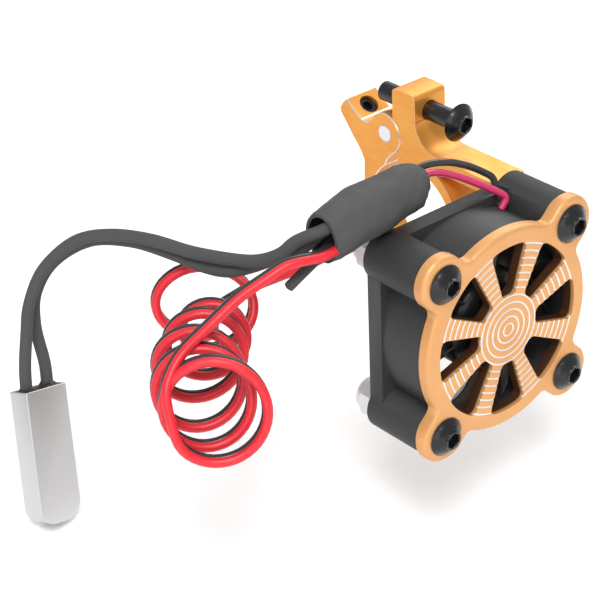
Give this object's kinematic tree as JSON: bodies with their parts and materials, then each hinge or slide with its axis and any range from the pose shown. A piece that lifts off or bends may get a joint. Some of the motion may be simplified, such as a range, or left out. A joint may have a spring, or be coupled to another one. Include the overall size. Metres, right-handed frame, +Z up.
{
  "type": "clamp-on cooling fan with thermal switch",
  "caption": "Small square axial fan with a round finger guard, carried on a screw-closed two-jaw bar clamp, with a thermal switch and a coiled power lead.",
  "frame": {"origin": "centre of the round bar that the two closed jaws grip, midway across the jaws", "axes": "+X along the bar, +Z up, the fan's guard faces -Y"},
  "size_m": [0.0688, 0.0558, 0.0555],
  "materials": {
    "frame_plastic": "moulded, sparked texture on the posts",
    "rotor_plastic": "moulded, fine satin",
    "plain_label": "plain, no print",
    "brass": "machined",
    "bright_steel": "ground",
    "laminated_steel": "stamped sheets",
    "copper_winding": "enamelled copper wire",
    "circuit_board": "lacquered board",
    "magnet": "bonded ferrite",
    "nylon": "moulded",
    "gold_anodised": "gold anodised with bright cut edges",
    "black_steel": "black oxide, oiled",
    "plated_steel": "zinc plated",
    "lead_crimson": "soft insulation",
    "lead_black": "soft insulation",
    "shrink_sleeve": "heat shrink sleeve",
    "solder": "solder",
    "sensor_lead": "soft insulation",
    "power_lead": "twin red and black insulation",
    "plug_plastic": "moulded",
    "tinned_case": "tinned, rubbed sheet metal",
    "potting": "cast resin",
    "liner_paper": "pressed insulation paper",
    "bimetal": "rolled strip"
  },
  "bodies": {
    "frame": {"fan_frame": "frame_plastic", "hub_label": "plain_label", "bearing_tube": "brass", "front_bearing": "bright_steel", "rear_bearing": "bright_steel", "stator_core": "laminated_steel", "stator_winding": "copper_winding", "circuit_board": "circuit_board", "fan_guard": "gold_anodised", "guard_screw_tl": "black_steel", "guard_screw_tr": "black_steel", "guard_screw_bl": "black_steel", "guard_screw_br": "black_steel", "lock_nut_top": "plated_steel", "lock_nut_bottom": "plated_steel", "nut_insert_top": "nylon", "nut_insert_bottom": "nylon", "front_jaw": "gold_anodised", "fan_lead_red": "lead_crimson", "fan_lead_black": "lead_black", "splice_sleeve": "shrink_sleeve", "splice_joint_red": "solder", "splice_joint_black": "solder", "splice_tail": "lead_black", "sensor_lead_outer": "sensor_lead", "sensor_lead_inner": "sensor_lead", "power_lead_run": "power_lead", "power_lead_coil": "power_lead", "power_lead_end": "power_lead", "power_plug": "plug_plastic", "plug_contact_left": "brass", "plug_contact_right": "brass", "switch_case": "tinned_case", "switch_resin": "potting", "switch_liner": "liner_paper", "fixed_terminal": "brass", "arm_terminal": "brass"},
    "rotor": {"impeller": "rotor_plastic", "rotor_yoke": "bright_steel", "magnet_ring": "magnet", "shaft": "bright_steel", "retaining_clip": "nylon"},
    "rear_clamp": {"rear_jaw": "gold_anodised", "hinge_pin": "bright_steel", "set_screw": "black_steel"},
    "closing_screw": {"clamp_screw": "black_steel"},
    "switch_contact": {"bimetal_arm": "bimetal"}
  },
  "joints": [
    {"name": "fan_spin", "type": "hinge", "parent": "frame", "child": "rotor", "pos_m": [-0.012, -0.022, -0.0026], "axis": [0, -1, 0], "continuous": true},
    {"name": "screw_travel", "type": "slide", "parent": "frame", "child": "closing_screw", "axis": [0, 1, 0], "range_m": [-0.005, 0]},
    {"name": "jaw_swing", "type": "hinge", "parent": "frame", "child": "rear_clamp", "pos_m": [0, 0.0055, 0.0123], "axis": [1, 0, 0], "range_deg": [0, 25]},
    {"name": "contact_snap", "type": "hinge", "parent": "frame", "child": "switch_contact", "pos_m": [-0.05865, 0.02009, -0.02134], "axis": [0.9679, 0.112, -0.225], "range_deg": [0, 1], "stiffness_Nm_per_rad": 0.005}
  ],
  "couplings": [
    {"joint": "jaw_swing", "follows": "screw_travel", "rad_per_m": -87}
  ]
}
